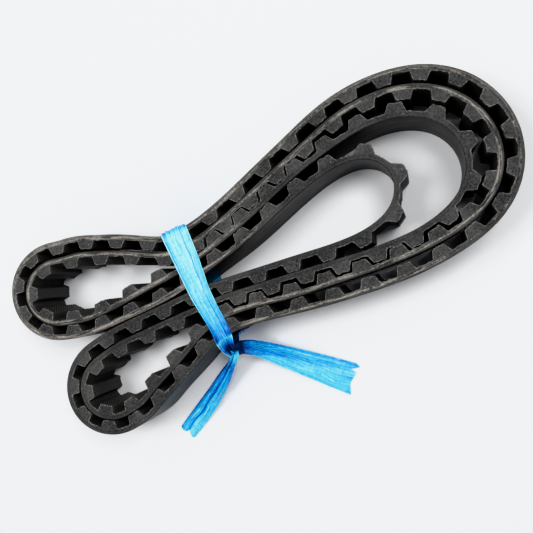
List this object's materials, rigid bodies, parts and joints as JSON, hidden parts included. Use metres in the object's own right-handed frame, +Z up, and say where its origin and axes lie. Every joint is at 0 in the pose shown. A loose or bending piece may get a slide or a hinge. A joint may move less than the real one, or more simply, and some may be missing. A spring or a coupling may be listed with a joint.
{
  "type": "rubber track",
  "caption": "Endless toothed rubber tracks, nested and folded into a lobed bundle that a knotted plastic film ribbon cinches at the waist; trapezoid lugs with a woven facing.",
  "frame": {"origin": "middle of the bundle's footprint, on the surface that the cut edges of the tracks lie on", "axes": "+X along the bundle from the two lobes to the rounded loop, +Y across it from the knot to the far side of the band, +Z up along the tracks' width"},
  "size_m": [0.3018, 0.161, 0.0357],
  "materials": {
    "cover_rubber": "smooth satin-matt moulded back",
    "lug_rubber": "matt cut edge with fine grain",
    "tension_ply": "cut edge of woven cord ply in rubber",
    "lug_facing": "diagonal woven facing, rubbered, matt",
    "film": "glossy creased translucent film"
  },
  "bodies": {
    "waist": {"outer_waist_cover": "cover_rubber", "outer_waist_ply": "tension_ply", "outer_waist_lugs": "lug_rubber", "outer_waist_facing": "lug_facing", "inner_waist_cover": "cover_rubber", "inner_waist_ply": "tension_ply", "inner_waist_lugs": "lug_rubber", "inner_waist_facing": "lug_facing", "tie_band": "film", "tie_knot": "film"},
    "upper_lobe": {"outer_upper_cover": "cover_rubber", "outer_upper_ply": "tension_ply", "outer_upper_lugs": "lug_rubber", "outer_upper_facing": "lug_facing", "inner_upper_cover": "cover_rubber", "inner_upper_ply": "tension_ply", "inner_upper_lugs": "lug_rubber", "inner_upper_facing": "lug_facing"},
    "lower_lobe": {"outer_lower_cover": "cover_rubber", "outer_lower_ply": "tension_ply", "outer_lower_lugs": "lug_rubber", "outer_lower_facing": "lug_facing", "inner_lower_cover": "cover_rubber", "inner_lower_ply": "tension_ply", "inner_lower_lugs": "lug_rubber", "inner_lower_facing": "lug_facing"},
    "right_loop": {"outer_bow_cover": "cover_rubber", "outer_bow_ply": "tension_ply", "outer_bow_lugs": "lug_rubber", "outer_bow_facing": "lug_facing", "outer_eye_cover": "cover_rubber", "outer_eye_ply": "tension_ply", "outer_eye_lugs": "lug_rubber", "outer_eye_facing": "lug_facing", "inner_bow_cover": "cover_rubber", "inner_bow_ply": "tension_ply", "inner_bow_lugs": "lug_rubber", "inner_bow_facing": "lug_facing", "inner_eye_cover": "cover_rubber", "inner_eye_ply": "tension_ply", "inner_eye_lugs": "lug_rubber", "inner_eye_facing": "lug_facing"},
    "long_tail": {"tie_long_tail": "film"},
    "short_tail": {"tie_short_tail": "film"}
  },
  "joints": [
    {"name": "upper_lobe_flex", "type": "hinge", "parent": "waist", "child": "upper_lobe", "pos_m": [-0.04593, 0.04973, 0.0175], "axis": [0, 0, 1], "range_deg": [-8, 0], "stiffness_Nm_per_rad": 3},
    {"name": "lower_lobe_flex", "type": "hinge", "parent": "waist", "child": "lower_lobe", "pos_m": [-0.04593, -0.02092, 0.0175], "axis": [0, 0, 1], "range_deg": [0, 8], "stiffness_Nm_per_rad": 3},
    {"name": "right_loop_flex", "type": "hinge", "parent": "waist", "child": "right_loop", "pos_m": [-0.02718, 0.04805, 0.0175], "axis": [0, 0, 1], "range_deg": [0, 5], "stiffness_Nm_per_rad": 6},
    {"name": "long_tail_swing", "type": "hinge", "parent": "waist", "child": "long_tail", "pos_m": [-0.03655, -0.02559, 0.025], "axis": [0, 0, 1], "range_deg": [-30, 5], "stiffness_Nm_per_rad": 0.002},
    {"name": "short_tail_swing", "type": "hinge", "parent": "waist", "child": "short_tail", "pos_m": [-0.03655, -0.02559, 0.025], "axis": [0, 0, 1], "range_deg": [-2, 30], "stiffness_Nm_per_rad": 0.002}
  ]
}
